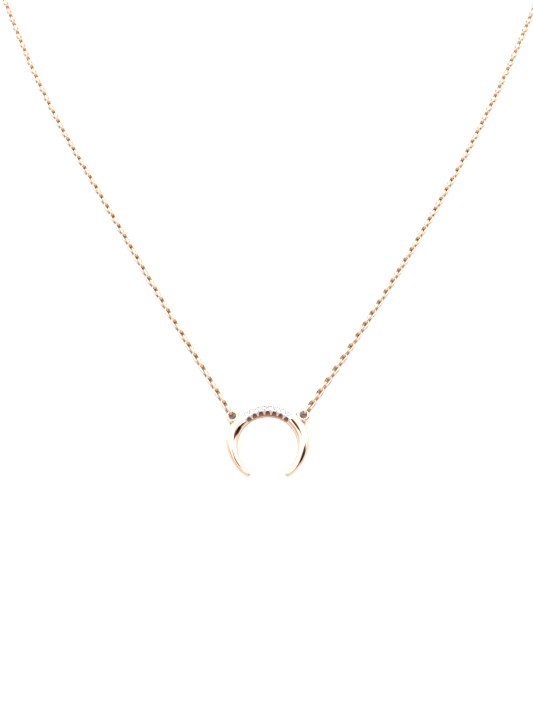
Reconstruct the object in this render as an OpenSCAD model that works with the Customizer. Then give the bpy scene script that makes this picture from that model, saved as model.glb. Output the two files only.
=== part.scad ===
// Pendant necklace: a double horn pendant with a row of set stones, on two sides of
// cable chain that end in a lobster clasp and a tag plate. It lies open and flat, face up.
// Millimetres, +Z out of the pendant's face, +Y up the chain.
// The origin is on the pendant's flat back, in the middle of the band at its crown.

/* [Pendant] */
// Radius of the outer edge of the crescent
horn_r = 7; // [6.8:0.1:7.2]
// Radius of the inner edge of the crescent
opening_r = 5.1; // [5:0.05:5.2]
// How far the inner edge's centre lies below the outer edge's centre
opening_drop = 0.5; // [0.45:0.05:0.6]
// Angle from the crown down to each blunt tip
horn_angle = 150; // [145:1:155]
// How far the outer edge tucks in on the lower half of each horn
tip_tuck = 0.25; // [0.2:0.05:0.3]
// How far the inner edge opens out by the time it reaches a tip
tip_flare = 0.35; // [0.3:0.05:0.4]
// Thickness of the crescent at the crown
crown_h = 1.25; // [1.2:0.05:1.3]
// How far the outer edge is flattened at the crown
crown_flat = 0.3; // [0.25:0.05:0.35]
// Thickness of the crescent at the tips
tip_h = 0.7; // [0.6:0.05:0.9]

/* [Stones] */
// Number of stones in the row
stone_count = 8; // [8]
// Angle from one stone to the next
stone_step = 10.4; // [10.2:0.1:10.5]
// Radius of the circle that the stones' centres lie on
stone_row_r = 5.95; // [5.93:0.01:5.97]
// Diameter of a stone at its girdle
stone_d = 1; // [0.95:0.01:1]

/* [Chain] */
// Diameter of the wire that the links are bent from
wire_d = 0.38; // [0.36:0.01:0.39]
// Width of a link, outside
link_w = 1.3; // [1.29:0.01:1.34]
// Length of a link, outside
link_l = 2.08; // [2.06:0.01:2.12]
// Slack between two links that hook each other
link_slack = 0.04; // [0.03:0.01:0.06]

/* [Clasp] */
// Thickness of the clasp body
clasp_t = 2; // [1.9:0.1:2.1]
// Outer radius of the clasp's claw
claw_r = 2.6; // [2.5:0.05:2.7]
// Radius of the clasp's mouth
mouth_r = 1.5; // [1.4:0.05:1.55]
// Radius of the hole in the tag plate that the clasp hooks into
tag_hole_r = 1; // [0.9:0.05:1.1]

/* [Hidden] */

$fn = 48;
rose = "#e0a68c";
white = "#d8d8dc";
eps = 0.5; // how far a cutting shape runs past what it cuts

// ---- pendant ----
crown_in = opening_r - opening_drop; // radius of the inner edge at the crown
horn_y = -(horn_r + crown_in) / 2; // centre of the outer edge
flat_to = 52; // angle at which the crown's flattening ends
tuck_from = 85; // angle at which the outer edge starts to tuck in
tuck_over = 30; // angle that the tuck takes
flare_from = 100; // angle at which the inner edge starts to open out
flare_over = 50;
wall_part = 0.3; // share of the thickness that is upright wall under the dome
edge_part = 0.08; // share of the thickness that the back's eased edge takes
ring_step = 5;
seat_z = 0.5; // floor of the seat that the setting is soldered into
setting_h = 1.15; // top face of the setting
setting_half = 45.5; // the setting runs this far to each side of the crown
setting_in = 4.76; // radius of the setting's foot
rim_in = 5.4; // radius at which the setting's top face starts
rim_arc_r = 7.36; // the setting's outer wall is an arc of this radius, flatter than the opening
rim_arc_drop = 0.7; // and centred this far below the outer edge's centre
girdle_z = 1.11;
stone_crown = 0.16;
stone_pavilion = 0.42;
seat_gap = 0.02; // room round each stone
bead_r = 0.12;
bead_out = 0.36; // how far the beads stand from the row's circle, to each side
rim_bevel = 0.15; // at the top of the setting's outer wall
slope_z = 0.65; // where the setting's inner slope starts
scallop_r = 0.4;
scallop_count = 7;
scallop_step = 13; // angle from one inner scallop to the next
scallop_row_r = 4.95; // radius of the circle that the inner scallops' centres lie on
nick_r = 0.16; // small scallops on the outer side
nick_row_r = 6.66;
nick_z = 0.8;

function ease(t) = let (c = min(1, max(0, t))) c * c * (3 - 2 * c);
function inner_edge(a) = -opening_drop * cos(a) + sqrt(pow(opening_r, 2) - pow(opening_drop * sin(a), 2))
    + tip_flare * pow(max(0, abs(a) - flare_from) / flare_over, 1.5);
function outer_edge(a) = horn_r - tip_tuck * ease((abs(a) - tuck_from) / tuck_over)
    - crown_flat * ease(1 - abs(a) / flat_to);
function thickness(a) = crown_h - (crown_h - tip_h) * pow(abs(a) / horn_angle, 1.5);

// The section's outline as shares of its width and height: a flat back with eased edges,
// short upright walls and a half-ellipse dome.
section = concat(
    [for (t = [0:15:180]) [0.5 + 0.5 * cos(t), wall_part + (1 - wall_part) * sin(t)]],
    [[0, edge_part], [0.06, 0], [0.94, 0], [1, edge_part]]
);

// One ring of the crescent: the section at angle a from the crown, shrunk about its middle by s.
function ring(a, s = 1) = [
    for (q = section)
        let (
            w = outer_edge(a) - inner_edge(a),
            r = inner_edge(a) + w * (0.5 + s * (q.x - 0.5)),
            z = thickness(a) * (0.5 + s * (q.y - 0.5))
        )
        [r * sin(a), r * cos(a), z]
];

// Rings from one tip to the other. The last three at each end round the tip off.
tip_rings = [[2.8, 0.35], [2.1, 0.7], [1.1, 0.92]]; // angle past the horn's end, share of the section
rings = concat(
    [for (t = tip_rings) ring(-horn_angle - t[0], t[1])],
    [for (a = [-horn_angle:ring_step:horn_angle]) ring(a)],
    [for (i = [2:-1:0]) ring(horn_angle + tip_rings[i][0], tip_rings[i][1])]
);

// A closed skin over a list of rings of equal size, with flat ends.
module skin(list) {
    m = len(list[0]);
    n = len(list);
    polyhedron(
        points = [for (r = list) each r],
        faces = concat(
            [for (i = [0:n - 2], j = [0:m - 1])
                [i * m + j, i * m + (j + 1) % m, (i + 1) * m + (j + 1) % m, (i + 1) * m + j]],
            [[for (j = [m - 1:-1:0]) j]],
            [[for (j = [0:m - 1]) (n - 1) * m + j]]
        )
    );
}

// Puts children on the outer edge's centre.
module on_horn() translate([0, horn_y, 0]) children();

// Puts children at angle a from the crown, r from the outer edge's centre.
module at_angle(a, r) on_horn() rotate([0, 0, -a]) translate([0, r, 0]) children();

// A profile in (radius, height) swept to each side of the crown by half.
module arc(half) on_horn() rotate([0, 0, 90 - half]) rotate_extrude(angle = 2 * half) children();

module crescent_body() {
    color(rose)
    difference() {
        on_horn() skin(rings);
        arc(setting_half)
            translate([crown_in - eps, seat_z])
            square([horn_r - crown_in + 2 * eps, crown_h]);
    }
}

// A round brilliant as a solid of revolution, grown by g all round.
module brilliant(g = 0) {
    r = stone_d / 2 + g;
    translate([0, 0, girdle_z])
    rotate_extrude()
    polygon([
        [0, -stone_pavilion - g], [r, -0.02 - g], [r, 0.02 + g],
        [r * 0.6, stone_crown + g], [0, stone_crown + g]
    ]);
}

function stone_angle(i) = (i - (stone_count - 1) / 2) * stone_step;

module stone(i) color("white", 0.6) at_angle(stone_angle(i - 1), stone_row_r) brilliant();

module pave_setting() {
    color(white)
    difference() {
        union() {
            intersection() {
                arc(setting_half)
                    polygon([
                        [setting_in, seat_z], [horn_r, seat_z], [horn_r, setting_h],
                        [rim_in, setting_h], [setting_in + 0.05, slope_z]
                    ]);
                translate([0, horn_y - rim_arc_drop, seat_z])
                rotate_extrude($fn = 96)
                polygon([
                    [0, -eps], [rim_arc_r, -eps], [rim_arc_r, setting_h - seat_z - rim_bevel],
                    [rim_arc_r - rim_bevel, setting_h - seat_z], [0, setting_h - seat_z]
                ]);
            }
            for (i = [0:stone_count], side = [-1, 1])
                at_angle(stone_angle(i) - stone_step / 2, stone_row_r + side * bead_out)
                translate([0, 0, setting_h])
                sphere(r = bead_r);
        }
        for (i = [0:stone_count - 1])
            at_angle(stone_angle(i), stone_row_r)
            brilliant(seat_gap);
        for (i = [0:scallop_count - 1])
            at_angle((i - (scallop_count - 1) / 2) * scallop_step, scallop_row_r)
            cylinder(r = scallop_r, h = 2);
        for (i = [1:stone_count - 1])
            at_angle(stone_angle(i) - stone_step / 2, nick_row_r)
            translate([0, 0, nick_z])
            cylinder(r = nick_r, h = 1);
    }
}

// ---- eyelets ----
mid_z = link_w / 2; // the chain's middle height: upright links stand on the floor
eyelet_angle = [53.3, 52.5]; // left and right, from the crown
eyelet_off = [7.5, 7.65]; // eyelet centre from the outer edge's centre, left and right
eyelet_hole_r = 0.62;
eyelet_wire_r = 0.24;
eyelet_r = 0.84; // radius of the middle of the eyelet's wire

function eyelet_at(side) = let (i = side < 0 ? 0 : 1)
    [side * eyelet_off[i] * sin(eyelet_angle[i]), horn_y + eyelet_off[i] * cos(eyelet_angle[i])];

// A soldered wire ring with a drilled hole, notched where it sits against the crescent.
module eyelet(side) {
    color(rose)
    difference() {
        translate([eyelet_at(side).x, eyelet_at(side).y, mid_z])
        difference() {
            rotate_extrude() translate([eyelet_r, 0]) circle(r = eyelet_wire_r);
            cylinder(r = eyelet_hole_r, h = 2, center = true);
        }
        on_horn() cylinder(r = horn_r, h = 3, $fn = 96);
    }
}

// ---- chain ----
run_links = 24; // links in one run of chain
half_run = 12;
runs = 6;
arc_r = (link_w - wire_d) / 2; // radius of a link's round end, at the middle of its wire
straight = link_l - link_w;
reach = (link_l - wire_d) / 2; // link's centre to the middle of its end wire
pitch = 2 * reach - wire_d - link_slack;
left_heading = 120.5;
right_heading = 55.5;
// How far the chain turns over each half run, in degrees, from the pendant on.
left_turns = [0.5, -1.5, 0.3, 0.2, -3.5, -3, -1, -28, -34, -30, -12, 2];
right_turns = [1.8, 1.6, 1.3, 1.5, 2, 1.8, 1.4, 28, 34, 32, 20, 10];

function dir(h) = [cos(h), sin(h)];

// Each link's place and heading, [x, y, h]: the first one hooks the eyelet, and each
// step turns by its half run's share.
function route(side, heading, turns) = [
    for (
        i = 0, h = heading, p = eyelet_at(side) + (eyelet_r + straight / 2) * dir(heading);
        i <= runs * run_links + 1;
        turn = i < runs * run_links ? turns[floor(i / half_run)] / half_run : 0,
        p = p + pitch / 2 * (dir(h) + dir(h + turn)),
        h = h + turn,
        i = i + 1
    ) [p.x, p.y, h]
];
left_route = route(-1, left_heading, left_turns);
right_route = route(1, right_heading, right_turns);

// A link lying flat: two straight wires and two half rings.
module link_shape() {
    for (s = [-1, 1]) {
        translate([-straight / 2, s * arc_r, 0])
            rotate([0, 90, 0])
            cylinder(d = wire_d, h = straight);
        translate([s * straight / 2, 0, 0])
            rotate([0, 0, -s * 90])
            rotate_extrude(angle = 180)
            translate([arc_r, 0])
            circle(d = wire_d);
    }
}

// Even links stand upright and odd ones lie flat.
module link(q, i)
    translate([q.x, q.y, mid_z])
    rotate([0, 0, q.z])
    rotate([i % 2 == 0 ? 90 : 0, 0, 0])
    union() link_shape();

module chain_run(list, k, extra = 0)
    color(rose)
    for (i = [(k - 1) * run_links + 1:k * run_links + extra])
        link(list[i], i);

// ---- chain ends ----
// Puts children at the middle of a link's far end wire, +X along the chain.
module past(q) translate([q.x, q.y, 0]) rotate([0, 0, q.z]) translate([reach, 0, 0]) children();

last = runs * run_links;
ring_r = 0.8; // jump ring, middle of its wire
ring_wire_r = 0.2;
ring_x = 0.18; // jump ring's centre past the end wire that it hangs on
ring_z = ring_r + ring_wire_r;
eye_hole_r = 0.62;
eye_r = 1.07;
eye_t = 0.5;
eye_x = 1.35; // eye's centre past the end wire
clasp_z = clasp_t / 2;
mouth_x = eye_x + 6.9; // centre of the claw and of its mouth
pivot = [eye_x + 4.2, -1];
rivet_r = 0.3;
cheek_t = 0.55;
lever_t = 0.8;
lever_reach = 3.68; // pivot to the lever's tip
slot_gap = 0.05;

module clasp_ring()
    color(rose)
    past(left_route[last + 1])
    translate([ring_x, 0, ring_z])
    rotate([90, 0, 0])
    rotate_extrude()
    translate([ring_r, 0])
    circle(r = ring_wire_r);

// The claw: a round head with a mouth, open on one side where the lever closes it.
module claw_outline() {
    difference() {
        union() {
            translate([mouth_x, 0]) circle(r = claw_r);
            polygon([
                [eye_x + 0.95, -0.5], [mouth_x - 3.2, -1.95], [mouth_x - 1, -2.35],
                [mouth_x - 1, 2.35], [mouth_x - 3.2, 1.6], [eye_x + 0.95, 0.5]
            ]);
        }
        translate([mouth_x, 0]) circle(r = mouth_r);
        intersection() {
            translate(pivot) circle(r = lever_reach + slot_gap);
            polygon([
                [mouth_x - 1.15, -0.8], [mouth_x - 1.15, -claw_r - 1],
                [mouth_x + 1.5, -claw_r - 1], [mouth_x + 1.5, -0.8]
            ]);
        }
    }
}

module clasp_body() {
    color(rose)
    past(left_route[last + 1])
    difference() {
        union() {
            linear_extrude(clasp_t) claw_outline();
            translate([eye_x, 0, clasp_z - eye_t / 2])
                linear_extrude(eye_t)
                difference() {
                    circle(r = eye_r);
                    circle(r = eye_hole_r);
                }
        }
        // slot that the lever works in, and the rivet's hole
        translate([pivot.x - 0.95, -4, cheek_t])
            cube([2.55, 4.4, clasp_t - 2 * cheek_t]);
        translate([pivot.x, pivot.y, -eps])
            cylinder(r = rivet_r, h = clasp_t + 2 * eps);
    }
}

// The lever: a heel on the rivet, a thumb tab and a bowed arm that closes the mouth.
module clasp_lever() {
    color(rose)
    past(left_route[last + 1])
    translate([0, 0, clasp_z - lever_t / 2])
    difference() {
        linear_extrude(lever_t)
        union() {
            translate(pivot) circle(r = 0.72);
            polygon([
                pivot + [-0.6, -0.35], pivot + [-0.85, -1.85],
                pivot + [-0.1, -1.95], pivot + [0.5, -0.5]
            ]);
            intersection() {
                translate([mouth_x, 0])
                difference() {
                    circle(r = claw_r - 0.12);
                    circle(r = mouth_r + 0.1);
                }
                translate(pivot) circle(r = lever_reach);
                polygon([
                    pivot + [0.1, -0.7], [mouth_x - 1.2, -claw_r - 0.2], [mouth_x + 1.5, -claw_r],
                    [mouth_x + 1.2, -0.8], [mouth_x, -0.6], pivot + [0.1, 0.35]
                ]);
            }
            polygon([
                pivot + [0.1, -0.7], pivot + [1.5, -0.9], pivot + [1.15, 0.2], pivot + [0, 0.6]
            ]);
        }
        translate([pivot.x, pivot.y, -eps])
            cylinder(r = rivet_r + slot_gap, h = lever_t + 2 * eps);
    }
}

module clasp_rivet()
    color(rose)
    past(left_route[last + 1])
    translate([pivot.x, pivot.y, 0])
    cylinder(r = rivet_r, h = clasp_t);

// The spring: a bowed wire behind the lever's heel, in the slot.
module clasp_spring()
    color(white)
    past(left_route[last + 1])
    translate([pivot.x, pivot.y, clasp_z])
    rotate([0, 0, 75])
    rotate_extrude(angle = 80)
    translate([0.85, 0])
    circle(r = 0.07);

// The tag: a small oval plate with a chain hole and a larger hole for the clasp.
tag_t = 0.4;
tag_chain_hole_r = 0.55;
tag_chain_x = 0.25;
tag_clasp_x = 3.1;
module tag_plate() {
    color(rose)
    past(right_route[last])
    translate([0, 0, mid_z - tag_t / 2])
    difference() {
        linear_extrude(tag_t)
        union() {
            translate([tag_chain_x, 0]) circle(r = tag_chain_hole_r + 0.4);
            translate([tag_clasp_x, 0]) circle(r = tag_hole_r + 0.75);
            polygon([
                [tag_chain_x, -0.9], [tag_clasp_x, -1.6], [tag_clasp_x, 1.6], [tag_chain_x, 0.9]
            ]);
        }
        translate([tag_chain_x, 0, -eps]) cylinder(r = tag_chain_hole_r, h = 2);
        translate([tag_clasp_x, 0, -eps]) cylinder(r = tag_hole_r, h = 2);
    }
}

crescent_body();
pave_setting();
for (i = [1:8]) stone(i);
eyelet(-1);  // left_eyelet
eyelet(1);  // right_eyelet
color(rose) link(left_route[0], 0);  // left_end_link
color(rose) link(right_route[0], 0);  // right_end_link
for (k = [1:6]) chain_run(left_route, k, k == 6 ? 1 : 0);
for (k = [1:6]) chain_run(right_route, k);
clasp_ring();
clasp_body();
clasp_lever();
clasp_rivet();
clasp_spring();
tag_plate();
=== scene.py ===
"""Pendant necklace: a polished double horn with a row of set stones, on cable chain with a
lobster clasp and a tag plate, laid open and flat. Metres; millimetres where a name ends in _mm."""

import bpy
import numpy as np
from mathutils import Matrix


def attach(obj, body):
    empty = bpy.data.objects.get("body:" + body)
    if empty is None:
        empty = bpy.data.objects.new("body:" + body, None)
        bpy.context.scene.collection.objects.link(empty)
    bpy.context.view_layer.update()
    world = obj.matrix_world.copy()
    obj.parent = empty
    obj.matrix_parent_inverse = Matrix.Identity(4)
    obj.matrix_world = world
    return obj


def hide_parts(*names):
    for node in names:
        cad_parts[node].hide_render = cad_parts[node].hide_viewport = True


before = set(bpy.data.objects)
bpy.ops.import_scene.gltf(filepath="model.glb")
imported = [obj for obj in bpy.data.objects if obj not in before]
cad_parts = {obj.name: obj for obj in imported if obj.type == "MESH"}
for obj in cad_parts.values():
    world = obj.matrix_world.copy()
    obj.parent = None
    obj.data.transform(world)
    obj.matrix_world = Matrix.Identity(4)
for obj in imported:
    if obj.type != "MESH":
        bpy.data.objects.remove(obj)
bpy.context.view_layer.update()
MM = 0.001

# ---------------------------------------------------------------------------
# Camera. It stands in front of the pendant, high up, and looks down at the face with the
# two sides of chain running away from it.
camera_elevation = 67.0
camera_mm = (-0.2, -45.6, 131.7)
focal_px, long_side_px, sensor_mm = 810.0, 710.0, 36.0

camera_data = bpy.data.cameras.new("camera")
camera_data.sensor_width = sensor_mm
camera_data.lens = focal_px / long_side_px * sensor_mm
camera_data.clip_start, camera_data.clip_end = 0.01, 20.0
camera = bpy.data.objects.new("camera", camera_data)
camera.location = np.array(camera_mm) * MM
camera.rotation_euler = (np.radians(90.0 - camera_elevation), 0.0, 0.0)
bpy.context.collection.objects.link(camera)
bpy.context.scene.camera = camera


# ---------------------------------------------------------------------------
# Cable chain. Drawn round wire of 14 carat rose gold, cut and bent into oval links that
# hook each other at right angles, each one closed with solder and the whole chain polished.
wire_mm, link_width_mm, link_length_mm, slack_mm = 0.38, 1.3, 2.08, 0.04
end_arc_mm = (link_width_mm - wire_mm) / 2
straight_mm = link_length_mm - link_width_mm
reach_mm = (link_length_mm - wire_mm) / 2
pitch_mm = 2 * reach_mm - wire_mm - slack_mm
chain_z_mm = link_width_mm / 2
horn_y_mm = -5.8  # centre of the horn's outer edge
eyelet_off_mm, eyelet_angle = {"left": 7.5, "right": 7.65}, {"left": 53.3, "right": 52.5}
eyelet_ring_mm = 0.84
run_links, half_run, runs = 24, 12, 6
headings = {"left": 120.5, "right": 55.5}
turns = {
    "left": [0.5, -1.5, 0.3, 0.2, -3.5, -3, -1, -28, -34, -30, -12, 2],
    "right": [1.8, 1.6, 1.3, 1.5, 2, 1.8, 1.4, 28, 34, 32, 20, 10],
}


def eyelet_centre(side):
    """The horn's centre plus the eyelet's distance along its angle from the crown."""
    sign, a = (-1 if side == "left" else 1), np.radians(eyelet_angle[side])
    return eyelet_off_mm[side] * np.array([sign * np.sin(a), np.cos(a)]) + [0.0, horn_y_mm]


def chain_route(side):
    """Every link's middle and heading: the heading grows by its half run's share each link, and
    the middle moves half a pitch along the old heading and half a pitch along the new one."""
    steps = np.append(np.repeat(np.array(turns[side]) / half_run, half_run), 0.0)
    heading = headings[side] + np.concatenate([[0.0], np.cumsum(steps)])
    a = np.radians(heading)
    way = np.stack([np.cos(a), np.sin(a)], axis=1)
    first = eyelet_centre(side) + (eyelet_ring_mm + straight_mm / 2) * way[0]
    moves = pitch_mm / 2 * (way[:-1] + way[1:])
    return np.vstack([first, first + np.cumsum(moves, axis=0)]), a


def grid_faces(rows, columns, wrap_rows, wrap_columns):
    """Four corners of each cell of a grid of points numbered row by row."""
    i, j = np.meshgrid(
        np.arange(rows if wrap_rows else rows - 1),
        np.arange(columns if wrap_columns else columns - 1),
        indexing="ij",
    )
    i2, j2 = (i + 1) % rows, (j + 1) % columns
    cells = [i * columns + j, i * columns + j2, i2 * columns + j2, i2 * columns + j]
    return np.stack([c.ravel() for c in cells], axis=1)


def tube_faces(rings, sides, loop=False, turned=False):
    """The cells between a tube's rings, and a flat face over each end of a tube that isn't a loop.
    Turned, they face the other way, for rings that run round the other way."""
    faces = [grid_faces(rings, sides, loop, True)]
    if not loop:
        first, last = np.arange(sides)[None], np.arange((rings - 1) * sides, rings * sides)[None]
        faces += [first[:, ::-1], last]
    return [f[:, ::-1] for f in faces] if turned else faces


def make_piece(name, points_mm, faces, material, smooth=True):
    """A mesh object at the origin. faces is a list of arrays, each with its own corner count."""
    mesh = bpy.data.meshes.new(name)
    points = np.asarray(points_mm, dtype=float).reshape(-1, 3) * MM
    groups = [np.asarray(f, dtype=np.int32) for f in faces]
    sizes = np.concatenate([np.full(len(g), g.shape[1], dtype=np.int32) for g in groups])
    corners = np.concatenate([g.ravel() for g in groups])
    mesh.vertices.add(len(points))
    mesh.vertices.foreach_set("co", points.astype(np.float32).ravel())
    mesh.loops.add(len(corners))
    mesh.loops.foreach_set("vertex_index", corners)
    mesh.polygons.add(len(sizes))
    starts = np.concatenate([[0], np.cumsum(sizes)[:-1]]).astype(np.int32)
    mesh.polygons.foreach_set("loop_start", starts)
    mesh.polygons.foreach_set("use_smooth", np.full(len(sizes), smooth))
    mesh.update(calc_edges=True)
    mesh.validate()
    piece = bpy.data.objects.new(name, mesh)
    piece.data.materials.append(material)
    bpy.context.collection.objects.link(piece)
    return piece


class Signal:
    """One socket of a material's nodes. Arithmetic on it adds Math nodes."""

    def __init__(self, tree, socket):
        self.tree, self.socket = tree, socket

    def _math(self, operation, first, second):
        return node(self.tree, "ShaderNodeMath", {"operation": operation}, {0: first, 1: second})

    def __add__(self, other):
        return self._math("ADD", self, other)

    def __radd__(self, other):
        return self._math("ADD", other, self)

    def __sub__(self, other):
        return self._math("SUBTRACT", self, other)

    def __rsub__(self, other):
        return self._math("SUBTRACT", other, self)

    def __mul__(self, other):
        return self._math("MULTIPLY", self, other)

    def __rmul__(self, other):
        return self._math("MULTIPLY", other, self)


def node(tree, kind, settings=None, inputs=None, output=0):
    """Adds a node: its settings first, then its sockets' values or links. Gives one output."""
    made = tree.nodes.new(kind)
    for key, value in (settings or {}).items():
        setattr(made, key, value)
    for key, value in (inputs or {}).items():
        if isinstance(value, Signal):
            tree.links.new(value.socket, made.inputs[key])
        else:
            made.inputs[key].default_value = value
    return Signal(tree, made.outputs[output]) if made.outputs else None


def new_tree(name):
    """An empty node tree of a new material."""
    material = bpy.data.materials.new(name)
    material.use_nodes = True
    material.node_tree.nodes.clear()
    return material, material.node_tree


def polished_metal(name, light, deep, roughness, spread, grain_mm, bump, shaded_face_mm=None):
    """Polished precious metal: the colour drifts between two near tones in soft clouds, the
    roughness varies with a fine grain, and faint polishing lines are a bump of stretched noise.
    At a height given last, a flat face is made rough and painted dark brown, painted shade for the
    hollows of the setting over it."""
    material, tree = new_tree(name)
    place = node(tree, "ShaderNodeTexCoord", output=3)
    cloud = node(tree, "ShaderNodeTexNoise", {}, {"Vector": place, "Scale": 420.0, "Detail": 3.0})
    grain = node(
        tree, "ShaderNodeTexNoise", {}, {"Vector": place, "Scale": 1.0 / (grain_mm * MM), "Detail": 4.0}
    )
    drawn = node(tree, "ShaderNodeMapping", {}, {"Vector": place, "Scale": (1.0, 0.12, 0.12)})
    lines = node(
        tree, "ShaderNodeTexNoise", {}, {"Vector": drawn, "Scale": 1.0 / (0.06 * MM), "Detail": 2.0}
    )
    colour = node(
        tree, "ShaderNodeMix", {"data_type": "RGBA"}, {0: cloud, 6: (*light, 1.0), 7: (*deep, 1.0)}, 2
    )
    rough = roughness + spread * (grain - 0.5) + spread * (cloud - 0.5)
    # Painted shade: the flat face at that height is painted dark brown, and made rough.
    if shaded_face_mm is not None:
        parts = tree.nodes.new("ShaderNodeSeparateXYZ")
        tree.links.new(place.socket, parts.inputs[0])
        above = Signal(tree, parts.outputs[2]) - shaded_face_mm * MM
        away = node(tree, "ShaderNodeMath", {"operation": "ABSOLUTE"}, {0: above})
        shaded_face = node(tree, "ShaderNodeMath", {"operation": "LESS_THAN"}, {0: away, 1: 0.01 * MM})
        painted_shade_brown = (0.30, 0.11, 0.05, 1.0)
        colour = node(
            tree, "ShaderNodeMix", {"data_type": "RGBA"}, {0: shaded_face, 6: colour, 7: painted_shade_brown}, 2
        )
        rough = rough + (0.5 - rough) * shaded_face
    height = grain * 0.6 + lines * 0.4
    normal = node(
        tree, "ShaderNodeBump", {}, {"Strength": bump, "Distance": 0.00001, "Height": height}
    )
    surface = node(
        tree,
        "ShaderNodeBsdfPrincipled",
        {},
        {"Base Color": colour, "Metallic": 1.0, "Roughness": rough, "Normal": normal},
    )
    node(tree, "ShaderNodeOutputMaterial", {}, {"Surface": surface})
    return material


rose_light, rose_deep = (0.94, 0.66, 0.51), (0.90, 0.60, 0.45)
chain_metal = polished_metal("rose_gold_wire", rose_light, rose_deep, 0.16, 0.06, 0.12, 0.12)


def link_ring(arc_steps, sides):
    """One flat link: its middle line is two half circles joined by straights, and at each of its
    points a circle of wire stands on the line's outward normal and the upright."""
    half = np.radians(np.linspace(-90, 90, arc_steps + 1))
    turn = np.concatenate([half, half + np.pi])
    shift = np.repeat([straight_mm / 2, -straight_mm / 2], arc_steps + 1)
    out = np.stack([np.cos(turn), np.sin(turn), np.zeros_like(turn)], axis=1)
    line = out * end_arc_mm + np.stack([shift, shift * 0, shift * 0], axis=1)
    around = np.radians(np.arange(sides) * 360.0 / sides)
    swell = np.sqrt(2 * np.pi / sides / np.sin(2 * np.pi / sides))  # same area as the round wire
    radius = wire_mm / 2 * swell
    ring = line[:, None, :] + radius * (
        np.cos(around)[None, :, None] * out[:, None, :]
        + np.sin(around)[None, :, None] * np.array([0.0, 0.0, 1.0])
    )
    return ring.reshape(-1, 3), tube_faces(len(line), sides, loop=True, turned=True)[0]


link_points, link_faces = link_ring(6, 6)
tilt = np.random.default_rng(7)


def lay_links(side, first, last):
    """Copies of the link, each rolled upright when its number is even, rolled a little more by a
    loose link's own lean, turned to its heading and moved to its place."""
    where, angle = chain_route(side)
    number = np.arange(first, last + 1)
    roll = np.where(number % 2 == 0, np.pi / 2, 0.0) + np.radians(tilt.uniform(-4, 4, len(number)))
    x, y, z = link_points.T
    y2 = np.cos(roll)[:, None] * y - np.sin(roll)[:, None] * z
    z2 = np.sin(roll)[:, None] * y + np.cos(roll)[:, None] * z
    c, s = np.cos(angle[number])[:, None], np.sin(angle[number])[:, None]
    laid = np.stack(
        [
            c * x - s * y2 + where[number, 0][:, None],
            s * x + c * y2 + where[number, 1][:, None],
            z2 + chain_z_mm,
        ],
        axis=2,
    )
    offsets = np.arange(len(number))[:, None, None] * len(link_points)
    return laid.reshape(-1, 3), (link_faces[None] + offsets).reshape(-1, 4)


for side in ("left", "right"):
    points, faces = lay_links(side, 0, 0)
    hook = make_piece(f"{side}_end_link_wire", points, [faces], chain_metal)
    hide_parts(f"{side}_end_link")
    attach(hook, f"{side}_end_link")
    for k in range(1, runs + 1):
        final = k * run_links + (1 if (side, k) == ("left", runs) else 0)
        points, faces = lay_links(side, (k - 1) * run_links + 1, final)
        run = make_piece(f"{side}_chain_{k}_links", points, [faces], chain_metal)
        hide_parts(f"{side}_chain_{k}")
        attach(run, f"{side}_chain_{k}")

# ---------------------------------------------------------------------------
# Floor and light. A pale board with a painted glow, which washes out the shadows cast on it, and
# painted shade where a mask darkens it near black in closed pockets. The light is white all round,
# with dark bars set for the thin dark lines that they put on the polished horns.
floor_mat, tree = new_tree("pale_board_painted_shade_and_glow")
place = node(tree, "ShaderNodeTexCoord", output=3)
fibre = node(tree, "ShaderNodeTexNoise", {}, {"Vector": place, "Scale": 900.0, "Detail": 4.0})
pocket_mm = 1.2  # how near the walls of a pocket have to be
shade = node(
    tree, "ShaderNodeAmbientOcclusion", {"samples": 12}, {"Distance": pocket_mm * MM}, 1
)
unshaded_share = node(
    tree, "ShaderNodeMapRange", {"interpolation_type": "SMOOTHSTEP"},
    {"Value": shade, "From Min": 0.4, "From Max": 0.6, "To Min": 0.0, "To Max": 1.0},
)
pale = node(
    tree, "ShaderNodeMix", {"data_type": "RGBA"},
    {0: fibre, 6: (0.58, 0.58, 0.58, 1.0), 7: (0.60, 0.60, 0.60, 1.0)}, 2,
)
# Painted shade: in closed pockets the board's colour goes near black.
board_with_painted_shade = node(
    tree, "ShaderNodeMix", {"data_type": "RGBA"}, {0: unshaded_share, 6: (0.03, 0.015, 0.01, 1.0), 7: pale}, 2
)
# Painted glow: the open board gives out light, which washes out the shadows cast on it; in the pockets
# it gives none.
painted_glow = node(
    tree, "ShaderNodeMix", {"data_type": "RGBA"},
    {0: unshaded_share, 6: (0.0, 0.0, 0.0, 1.0), 7: (0.55, 0.55, 0.55, 1.0)}, 2,
)
surface = node(
    tree, "ShaderNodeBsdfPrincipled", {},
    {"Base Color": board_with_painted_shade, "Roughness": 0.9, "Emission Color": painted_glow, "Emission Strength": 1.0},
)
node(tree, "ShaderNodeOutputMaterial", {}, {"Surface": surface})
floor_half_mm, floor_mm = 3000.0, -0.01
corners = np.array([[-1, -1], [1, -1], [1, 1], [-1, 1]]) * floor_half_mm
floor_points = np.column_stack([corners, np.full(4, floor_mm)])
floor = make_piece("floor", floor_points, [[[0, 1, 2, 3]]], floor_mat)

world = bpy.data.worlds.new("studio")
bpy.context.scene.world = world
world.use_nodes = True
sky = world.node_tree
sky.nodes.clear()
ray = node(sky, "ShaderNodeTexCoord", output=0)
split = sky.nodes.new("ShaderNodeSeparateXYZ")
sky.links.new(ray.socket, split.inputs[0])
east, north, up = (Signal(sky, split.outputs[k]) for k in range(3))
box_light, side_light, low_light, room_light = 2.4, 1.9, 0.7, 1.1
lean = node(sky, "ShaderNodeMath", {"operation": "ARCCOSINE"}, {0: up})
plan = node(sky, "ShaderNodeCombineXYZ", {}, {0: east, 1: north, 2: 0.0})
plan = node(sky, "ShaderNodeVectorMath", {"operation": "NORMALIZE"}, {0: plan})
flat = node(sky, "ShaderNodeVectorMath", {"operation": "SCALE"}, {0: plan, "Scale": lean})
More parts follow.
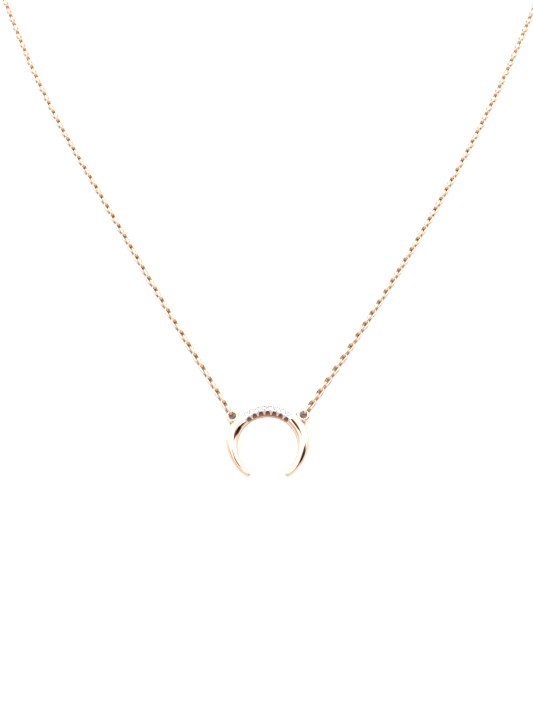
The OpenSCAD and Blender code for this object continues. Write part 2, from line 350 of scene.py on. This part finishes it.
# The bars stand for nothing in a real room: each is placed for the line that it makes on the
# horns, in degrees east and north of straight up. Start, end, half width, and how much light it
# keeps out.
bars = [
    ((28, 4), (60, -12), 9.0, 0.97),
    ((60, -12), (105, -30), 10.0, 0.75),
    ((38, -8), (52, -27), 8.0, 0.96),
    ((-12, 4), (-28, -7), 6.5, 0.96),
    ((-4, 9), (30, 6), 2.5, 0.7),
    ((0, -18), (0, -28), 18.0, 0.94),
]
open_share = None
for start, end, half_width, strength in bars:
    start, end, half_width = np.radians(start), np.radians(end), np.radians(half_width)
    path = end - start
    span = float(path @ path)
    offset = node(
        sky, "ShaderNodeVectorMath", {"operation": "SUBTRACT"}, {0: flat, 1: (*start, 0.0)}
    )
    share = node(
        sky, "ShaderNodeVectorMath", {"operation": "DOT_PRODUCT"},
        {0: offset, 1: (path[0] / span, path[1] / span, 0.0)}, 1,
    )
    share = node(sky, "ShaderNodeMath", {"operation": "MINIMUM"}, {0: share, 1: 1.0})
    share = node(sky, "ShaderNodeMath", {"operation": "MAXIMUM"}, {0: share, 1: 0.0})
    nearest = node(
        sky, "ShaderNodeVectorMath", {"operation": "SCALE"},
        {0: (path[0], path[1], 0.0), "Scale": share},
    )
    distance = node(
        sky, "ShaderNodeVectorMath", {"operation": "DISTANCE"}, {0: offset, 1: nearest}, 1
    )
    shut = node(
        sky, "ShaderNodeMapRange", {"interpolation_type": "SMOOTHSTEP"},
        {"Value": distance, "From Min": half_width * 0.75, "From Max": half_width * 1.25,
         "To Min": strength, "To Max": 0.0},
    )
    open_share = 1 - shut if open_share is None else open_share * (1 - shut)
# Low down, everywhere but to the north, the light is weaker.
sideways = node(
    sky, "ShaderNodeMapRange", {"interpolation_type": "SMOOTHSTEP"},
    {"Value": north * -1.0, "From Min": -0.45, "From Max": 0.2, "To Min": 0.0, "To Max": 1.0},
)
low = node(
    sky, "ShaderNodeMapRange", {"interpolation_type": "SMOOTHSTEP"},
    {"Value": up, "From Min": 0.55, "From Max": 0.8, "To Min": 1.0, "To Max": 0.0},
)
boxes = node(
    sky, "ShaderNodeMapRange", {"interpolation_type": "SMOOTHSTEP"},
    {"Value": up, "From Min": 0.4, "From Max": 0.75, "To Min": side_light, "To Max": box_light},
)
level = (boxes + (low_light - boxes) * low * sideways) * open_share
# The camera itself sees an even white behind the object, and not this light.
seen = node(sky, "ShaderNodeLightPath", output=0)
level = level * (1 - seen) + room_light * seen
glow = node(sky, "ShaderNodeBackground", {}, {"Color": (1.0, 1.0, 1.0, 1.0), "Strength": level})
node(sky, "ShaderNodeOutputWorld", {}, {"Surface": glow})
bpy.context.scene.view_settings.view_transform = "Standard"

# ---------------------------------------------------------------------------
# Crescent. One casting in 14 carat rose gold, a double horn with a domed face and a flat
# back, polished to a mirror. A flat seat is milled across its crown for the stone setting.
horn_mm, opening_mm, opening_drop_mm = 7.0, 5.1, 0.5
horn_angle, tuck_from, tuck_over, tip_tuck_mm = 150.0, 85.0, 30.0, 0.25
flare_from, flare_over, tip_flare_mm = 100.0, 50.0, 0.35
crown_flat_mm, flat_to = 0.3, 52.0
crown_mm, tip_mm = 1.25, 0.7
seat_mm, setting_half = 0.5, 45.5
wall_part, edge_part = 0.3, 0.08


def horn_inner(a):
    """The opening's circle, drawn from the outer circle's centre: minus the drop along the angle,
    plus the root of its radius squared less the drop across the angle squared. Near the tips a
    flare is added that grows with the 1.5th power of the angle past its start."""
    circle = np.sqrt(opening_mm**2 - (opening_drop_mm * np.sin(a)) ** 2) - opening_drop_mm * np.cos(a)
    past = np.clip(np.abs(np.degrees(a)) - flare_from, 0, None) / flare_over
    return circle + tip_flare_mm * past**1.5


def ease(share):
    """Three squares less two cubes of the share, held between 0 and 1."""
    share = np.clip(share, 0, 1)
    return share**2 * (3 - 2 * share)


def horn_outer(a):
    """The outer radius, less a tuck that eases in on the lower half of each horn, and less a
    flattening that eases out from the crown."""
    a = np.abs(np.degrees(a))
    tuck = tip_tuck_mm * ease((a - tuck_from) / tuck_over)
    return horn_mm - tuck - crown_flat_mm * ease(1 - a / flat_to)


def horn_height(a):
    """The crown's height, less a share that grows with the 1.5th power of the angle."""
    share = np.clip(np.abs(np.degrees(a)) / horn_angle, 0, 1) ** 1.5
    return crown_mm - (crown_mm - tip_mm) * share


# The seat's flat face is painted dark brown, as painted shade under the setting's notches.
mirror_rose = polished_metal("rose_gold_mirror", rose_light, rose_deep, 0.07, 0.03, 0.1, 0.05, seat_mm)
dome = np.radians(np.linspace(0, 180, 37))
# The flat back follows the dome, with eased edges, as shares of the width and of the height.
back_across = [0.0, 0.02, 0.06, 0.3, 0.7, 0.94, 0.98, 1.0]
back_up = [edge_part, 0.02, 0.0, 0.0, 0.0, 0.0, 0.02, edge_part]
across_share = np.concatenate([0.5 + 0.5 * np.cos(dome), back_across])
up_share = np.concatenate([wall_part + (1 - wall_part) * np.sin(dome), back_up])
# The seat's end walls are upright, so two rings stand almost together at each end of it.
seat_ends = [-setting_half, -setting_half + 0.01, setting_half - 0.01, setting_half]
body_angles = np.sort(np.append(np.linspace(-horn_angle, horn_angle, 241), seat_ends))
cap = np.radians(np.arange(1, 8) * 90.0 / 7)
cap_angles, cap_sizes = horn_angle + 3.0 * np.sin(cap), np.cos(cap)
angles = np.radians(np.concatenate([-cap_angles[::-1], body_angles, cap_angles]))
sizes = np.concatenate([cap_sizes[::-1], np.ones(len(body_angles)), cap_sizes])
sizes = np.maximum(sizes, 0.02)  # the last ring is closed with a tiny face
inner, outer, tall = horn_inner(angles), horn_outer(angles), horn_height(angles)
middle = inner + (outer - inner) * 0.5
radius = middle[:, None] + (outer - inner)[:, None] * sizes[:, None] * (across_share - 0.5)[None]
height = tall[:, None] * (0.5 + sizes[:, None] * (up_share - 0.5)[None])
seated = (np.abs(np.degrees(angles)) < setting_half - 0.005)[:, None]
height = np.where(seated, np.minimum(height, seat_mm), height)
horn_points = np.stack(
    [radius * np.sin(angles)[:, None], horn_y_mm + radius * np.cos(angles)[:, None], height], axis=2
)
rings_n, section_n = radius.shape
crescent = make_piece("crescent_polished", horn_points, tube_faces(rings_n, section_n), mirror_rose)
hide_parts("crescent_body")
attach(crescent, "pendant")

# ---------------------------------------------------------------------------
# Stone setting. A strip of white gold soldered into the seat on the crown, drilled with a row
# of round seats, cut out along its inner side, nicked between the stones on its outer side, and
# raised into grains that grip the stones. It is rhodium plated and bright.
stone_count, stone_step, row_mm, stone_mm = 8, 10.4, 5.95, 1.0
girdle_mm, table_mm, culet_mm = 1.11, 0.16, 0.42
strip_top_mm, notch_row_mm, notch_mm = 1.15, 4.95, 0.4
notch_angles = np.arange(-3, 4) * 13.0
rim_arc_mm, rim_drop_mm = 7.36, 0.7
nick_row_mm, nick_mm, nick_floor_mm = 6.66, 0.16, 0.8
rim_mm = rim_arc_mm - rim_drop_mm
strip_corners = np.array(
    [[rim_mm, seat_mm], [4.76, seat_mm], [4.81, 0.65], [5.4, strip_top_mm],
     [rim_mm - 0.15, strip_top_mm], [rim_mm, 1.0]]
)
strip_steps = [8, 5, 16, 30, 6, 6]
bright_white = polished_metal(
    "white_gold_bright", (0.90, 0.90, 0.92), (0.84, 0.85, 0.88), 0.14, 0.06, 0.1, 0.08
)


def around_crown(angle_deg, radius_mm, height_mm):
    """A point at an angle from the crown and a radius from the horn's centre."""
    a = np.radians(angle_deg)
    return np.stack(
        np.broadcast_arrays(radius_mm * np.sin(a), horn_y_mm + radius_mm * np.cos(a), height_mm), axis=-1
    )


def nearest_turn(at_deg, marks_deg):
    """The angle, in radians and never negative, from each place to the mark nearest to it."""
    return np.radians(np.abs(at_deg[:, None] - marks_deg[None]).min(axis=1))[:, None]


stone_angles = (np.arange(stone_count) - (stone_count - 1) / 2) * stone_step
gap_angles = stone_angles[:-1] + stone_step / 2
edges = [
    corner + (following - corner) * (np.arange(n) / n)[:, None]
    for corner, following, n in zip(strip_corners, np.roll(strip_corners, -1, axis=0), strip_steps)
]
profile = np.vstack(edges)
strip_angles = np.linspace(-setting_half, setting_half, 365)
radius = np.repeat(profile[None, :, 0], len(strip_angles), axis=0)
height = np.repeat(profile[None, :, 1], len(strip_angles), axis=0)
# The outer wall is an arc about a lower centre, so the outer half of the profile moves out with
# it: the root of the arc squared less the drop across the angle squared, less the drop along it.
a = np.radians(strip_angles)[:, None]
rim = np.sqrt(rim_arc_mm**2 - (rim_drop_mm * np.sin(a)) ** 2) - rim_drop_mm * np.cos(a)
radius = radius + (rim - rim_mm) * np.clip((radius - 5.6) / 0.8, 0, 1)
# Notches: a point on the inner side stands no nearer than the far wall of its round cut.
from_notch = nearest_turn(strip_angles, notch_angles)
across = notch_row_mm * np.sin(from_notch)
wall = notch_row_mm * np.cos(from_notch) + np.sqrt(np.clip(notch_mm**2 - across**2, 0, None))
radius = np.where(across < notch_mm, np.maximum(radius, wall), radius)
# Nicks: the same on the outer side between stones, smaller and only down to a ledge.
from_gap = nearest_turn(strip_angles, gap_angles)
across = nick_row_mm * np.sin(from_gap)
wall = nick_row_mm * np.cos(from_gap) - np.sqrt(np.clip(nick_mm**2 - across**2, 0, None))
radius = np.where((across < nick_mm) & (height > nick_floor_mm), np.minimum(radius, wall), radius)
# Seats: inside a stone's circle the top sinks in a cone under it.
from_stone = nearest_turn(strip_angles, stone_angles)
away = np.hypot(radius * np.sin(from_stone), radius * np.cos(from_stone) - row_mm)
seat_wide_mm, seat_drop_mm = stone_mm / 2 + 0.02, 0.03
cone = girdle_mm - seat_drop_mm - culet_mm * (1 - away / seat_wide_mm)
height = np.where((away < seat_wide_mm) & (height > 1.0), np.minimum(height, cone), height)
strip_points = around_crown(strip_angles[:, None], radius, height).reshape(-1, 3)


def grain(rows, sides):
    """A ball as rings of points from pole to pole: sines of the height angle across, cosines up."""
    up = np.radians(np.linspace(0, 180, rows + 1))[1:-1]
    turn = np.radians(np.arange(sides) * 360.0 / sides)
    ring = np.stack(
        [
            np.sin(up)[:, None] * np.cos(turn)[None],
            np.sin(up)[:, None] * np.sin(turn)[None],
            np.repeat(np.cos(up)[:, None], sides, axis=1),
        ],
        axis=2,
    ).reshape(-1, 3)
    points = np.vstack([ring, [[0, 0, 1], [0, 0, -1]]])
    quads = grid_faces(rows - 1, sides, False, True)[:, ::-1]
    k = np.arange(sides)
    top = np.stack([np.full(sides, len(ring)), k, (k + 1) % sides], axis=1)
    low = (rows - 2) * sides
    bottom = np.stack([np.full(sides, len(ring) + 1), low + (k + 1) % sides, low + k], axis=1)
    return points, quads, np.vstack([top, bottom])


grain_points, grain_quads, grain_tris = grain(6, 10)
bead_angles = np.concatenate([stone_angles - stone_step / 2, [stone_angles[-1] + stone_step / 2]])
bead_out_mm, bead_sink_mm, bead_half_mm = 0.36, 0.02, [0.15, 0.15, 0.14]
bead_places = np.vstack(
    [
        around_crown(bead_angles, row_mm + out_mm, strip_top_mm - bead_sink_mm)
        for out_mm in (-bead_out_mm, bead_out_mm)
    ]
)
beads = (grain_points * bead_half_mm)[None] + bead_places[:, None]
start = len(strip_points) + np.arange(len(bead_places))[:, None, None] * len(grain_points)
strip = make_piece(
    "stone_setting",
    np.vstack([strip_points, beads.reshape(-1, 3)]),
    tube_faces(len(strip_angles), len(profile), turned=True)
    + [(grain_quads[None] + start).reshape(-1, 4), (grain_tris[None] + start).reshape(-1, 3)],
    bright_white,
)
strip.data.set_sharp_from_angle(angle=np.radians(40))
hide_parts("pave_setting")
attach(strip, "pendant")

# ---------------------------------------------------------------------------
# Stones. Eight clear round brilliants, a millimetre across, each cut with a table, a crown of
# stars, kites and girdle facets, and a pavilion that comes to a point, and set under grains.
clear, tree = new_tree("clear_brilliant")
place = node(tree, "ShaderNodeTexCoord", output=3)
veil = node(tree, "ShaderNodeTexNoise", {}, {"Vector": place, "Scale": 5000.0, "Detail": 2.0})
tone = node(
    tree,
    "ShaderNodeMix",
    {"data_type": "RGBA"},
    {0: veil, 6: (1.0, 1.0, 1.0, 1.0), 7: (0.93, 0.94, 0.98, 1.0)},
    2,
)
gem = node(
    tree,
    "ShaderNodeBsdfPrincipled",
    {},
    {"Base Color": tone, "Roughness": 0.01 + 0.02 * veil, "IOR": 2.2, "Transmission Weight": 1.0},
)
node(tree, "ShaderNodeOutputMaterial", {}, {"Surface": gem})


def brilliant():
    """Rings of corners: the table's eight, eight crown mains between them, sixteen above and below
    the girdle, eight pavilion mains, and the culet. Heights are shares of crown and pavilion."""
    eight, sixteen = np.arange(8), np.arange(16)

    def ring(count, turn, share, height):
        a = np.radians(turn + np.arange(count) * 360.0 / count)
        r = share * stone_mm / 2
        return np.stack([r * np.cos(a), r * np.sin(a), np.full(count, height)], axis=1)

    points = np.vstack(
        [
            ring(8, 0.0, 0.56, table_mm),
            ring(8, 22.5, 0.77, table_mm * 0.62),
            ring(16, 0.0, 1.0, 0.02),
            ring(16, 0.0, 1.0, -0.02),
            ring(8, 22.5, 0.24, -culet_mm * 0.8),
            [[0.0, 0.0, -culet_mm]],
        ]
    )
    table, main, upper, lower, pavilion, culet = 0, 8, 16, 32, 48, 56
    star = np.stack([table + eight, main + eight, table + (eight + 1) % 8], axis=1)
    kite = np.stack(
        [table + eight, main + (eight - 1) % 8, upper + 2 * eight, main + eight], axis=1
    )
    left = np.stack([main + eight, upper + 2 * eight, upper + 2 * eight + 1], axis=1)
    right = np.stack([main + eight, upper + 2 * eight + 1, upper + (2 * eight + 2) % 16], axis=1)
    following = (sixteen + 1) % 16
    girdle = np.stack(
        [upper + sixteen, lower + sixteen, lower + following, upper + following], axis=1
    )
    near = np.stack([pavilion + eight, lower + 2 * eight + 1, lower + 2 * eight], axis=1)
    far = np.stack([pavilion + eight, lower + (2 * eight + 2) % 16, lower + 2 * eight + 1], axis=1)
    mains = np.stack(
        [np.full(8, culet), pavilion + eight, lower + 2 * eight, pavilion + (eight - 1) % 8],
        axis=1,
    )
    threes, fours = np.vstack([star, left, right, near, far]), np.vstack([kite, girdle, mains])
    return points, [eight[None], threes, fours]


gem_points, gem_faces = brilliant()
for k, angle in enumerate(stone_angles):
    a = -np.radians(angle)
    spin = np.array([[np.cos(a), -np.sin(a), 0], [np.sin(a), np.cos(a), 0], [0, 0, 1]])
    placed = gem_points @ spin.T + around_crown(angle, row_mm, girdle_mm)
    stone = make_piece(f"stone_{k + 1}_brilliant", placed, gem_faces, clear, smooth=False)
    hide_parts(f"stone_{k + 1}")
    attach(stone, "pendant")

# ---------------------------------------------------------------------------
# Eyelets. Two rings of rose gold wire, drilled clean, soldered to the crescent's outer edge
# where the solder draws each ring out into the horn. The chain's end links hook them.
eyelet_wire_mm, eyelet_hole_mm, fillet_mm = 0.24, 0.62, 0.1
ring_angles, wire_angles = np.radians(np.arange(64) * 5.625), np.radians(np.arange(20) * 18.0)
for side in ("left", "right"):
    centre = eyelet_centre(side)
    toward = np.arctan2(horn_y_mm - centre[1], -centre[0])
    thick = eyelet_wire_mm + fillet_mm * ease((np.cos(ring_angles - toward) + 0.15) / 0.9)
    reach_out = eyelet_ring_mm + thick[:, None] * np.cos(wire_angles)[None]
    reach_out = np.maximum(reach_out, eyelet_hole_mm)
    points = np.stack(
        [
            centre[0] + reach_out * np.cos(ring_angles)[:, None],
            centre[1] + reach_out * np.sin(ring_angles)[:, None],
            chain_z_mm + thick[:, None] * np.sin(wire_angles)[None],
        ],
        axis=2,
    )
    eyelet = make_piece(
        f"{side}_eyelet_ring", points, tube_faces(64, 20, loop=True, turned=True), mirror_rose
    )
    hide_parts(f"{side}_eyelet")
    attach(eyelet, "pendant")

# ---------------------------------------------------------------------------
# Lobster clasp and its ring. The body, claw and eye are one rose gold casting, tumbled so that
# its edges are soft; a lever works in its slot on a rivet against a bowed steel spring.
cast_rose = polished_metal("rose_gold_cast", rose_light, rose_deep, 0.13, 0.06, 0.15, 0.1)
clasp_link = runs * run_links + 1
ring_mm, ring_wire_mm, ring_x_mm = 0.8, 0.2, 0.18
pivot_mm, clasp_tall_mm = (5.55, -1.0), 2.0


def at_clasp(points):
    """Points given from the middle of the last link's far end wire, +X along the chain: turned to
    the link's heading and moved to its middle plus its reach."""
    where, angle = chain_route("left")
    c, s = np.cos(angle[clasp_link]), np.sin(angle[clasp_link])
    x, y, z = np.moveaxis(np.asarray(points, dtype=float), -1, 0)
    x = x + reach_mm
    middle_x, middle_y = where[clasp_link]
    return np.stack([middle_x + c * x - s * y, middle_y + s * x + c * y, z], axis=-1)


def soften(name, cad_name, voxel_mm, rounds, material):
    """A casting's soft edges: a merged copy of the CAD mesh, in millimetres, is remade in small
    even cells and relaxed, each point towards the mean of its neighbours."""
    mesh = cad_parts[cad_name].data.copy()
    mesh.transform(((1000, 0, 0, 0), (0, 1000, 0, 0), (0, 0, 1000, 0), (0, 0, 0, 1)))
    rough = bpy.data.objects.new(name, mesh)
    bpy.context.collection.objects.link(rough)
    weld = rough.modifiers.new("weld", "WELD")
    weld.merge_threshold = 0.0005
    cells = rough.modifiers.new("cells", "REMESH")
    cells.mode, cells.voxel_size, cells.use_smooth_shade = "VOXEL", voxel_mm, True
    relax = rough.modifiers.new("relax", "SMOOTH")
    relax.factor, relax.iterations = 0.5, rounds
    graph = bpy.context.evaluated_depsgraph_get()
    made = bpy.data.meshes.new_from_object(rough.evaluated_get(graph))
    bpy.data.objects.remove(rough)
    made.transform(((MM, 0, 0, 0), (0, MM, 0, 0), (0, 0, MM, 0), (0, 0, 0, 1)))
    made.materials.clear()
    made.materials.append(material)
    piece = bpy.data.objects.new(name, made)
    bpy.context.collection.objects.link(piece)
    return piece


ring_turn, ring_around = np.radians(np.arange(48) * 7.5), np.radians(np.arange(14) * 360 / 14)
out = ring_mm + ring_wire_mm * np.cos(ring_around)[None]
points = np.stack(
    [
        ring_x_mm + out * np.cos(ring_turn)[:, None],
        np.repeat(-ring_wire_mm * np.sin(ring_around)[None], 48, axis=0),
        ring_mm + ring_wire_mm + out * np.sin(ring_turn)[:, None],
    ],
    axis=2,
)
jump = make_piece(
    "clasp_jump_ring", at_clasp(points), tube_faces(48, 14, loop=True, turned=True), chain_metal
)
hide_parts("clasp_ring")
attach(jump, "clasp_ring")

for name, cad_name, body, voxel_mm, rounds in (
    ("clasp_casting", "clasp_body", "clasp", 0.06, 6),
    ("clasp_thumb_lever", "clasp_lever", "clasp_lever", 0.04, 4),
    ("tag_plate_polished", "tag_plate", "tag_plate", 0.05, 4),
):
    piece = soften(name, cad_name, voxel_mm, rounds, cast_rose)
    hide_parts(cad_name)
    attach(piece, body)

# The pin's lower half as radius and height, with its end eased; the upper half mirrors it.
pin = np.array([[0.02, 0.0], [0.22, 0.01], [0.28, 0.05], [0.3, 0.12], [0.3, 0.6]])
pin = np.vstack([pin, (pin * [1, -1] + [0, clasp_tall_mm])[::-1]])
pin_turn = np.radians(np.arange(28) * 360 / 28)
points = np.stack(
    [
        pivot_mm[0] + pin[:, None, 0] * np.cos(pin_turn)[None],
        pivot_mm[1] + pin[:, None, 0] * np.sin(pin_turn)[None],
        np.repeat(pin[:, None, 1], 28, axis=1),
    ],
    axis=2,
)
rivet = make_piece("clasp_pin", at_clasp(points), tube_faces(len(pin), 28), cast_rose)
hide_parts("clasp_rivet")
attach(rivet, "clasp")

spring_steel = polished_metal(
    "spring_steel_wire", (0.66, 0.67, 0.69), (0.56, 0.57, 0.60), 0.25, 0.08, 0.05, 0.1
)
bow_mm, bow_wire_mm = 0.85, 0.07
bow, bow_around = np.radians(np.linspace(75, 155, 25)), np.radians(np.arange(10) * 36.0)
out = bow_mm + bow_wire_mm * np.cos(bow_around)[None]
points = np.stack(
    [
        pivot_mm[0] + out * np.cos(bow)[:, None],
        pivot_mm[1] + out * np.sin(bow)[:, None],
        np.repeat(clasp_tall_mm / 2 + bow_wire_mm * np.sin(bow_around)[None], 25, axis=0),
    ],
    axis=2,
)
spring = make_piece(
    "clasp_bow_spring", at_clasp(points), tube_faces(25, 10, turned=True), spring_steel
)
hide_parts("clasp_spring")
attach(spring, "clasp")
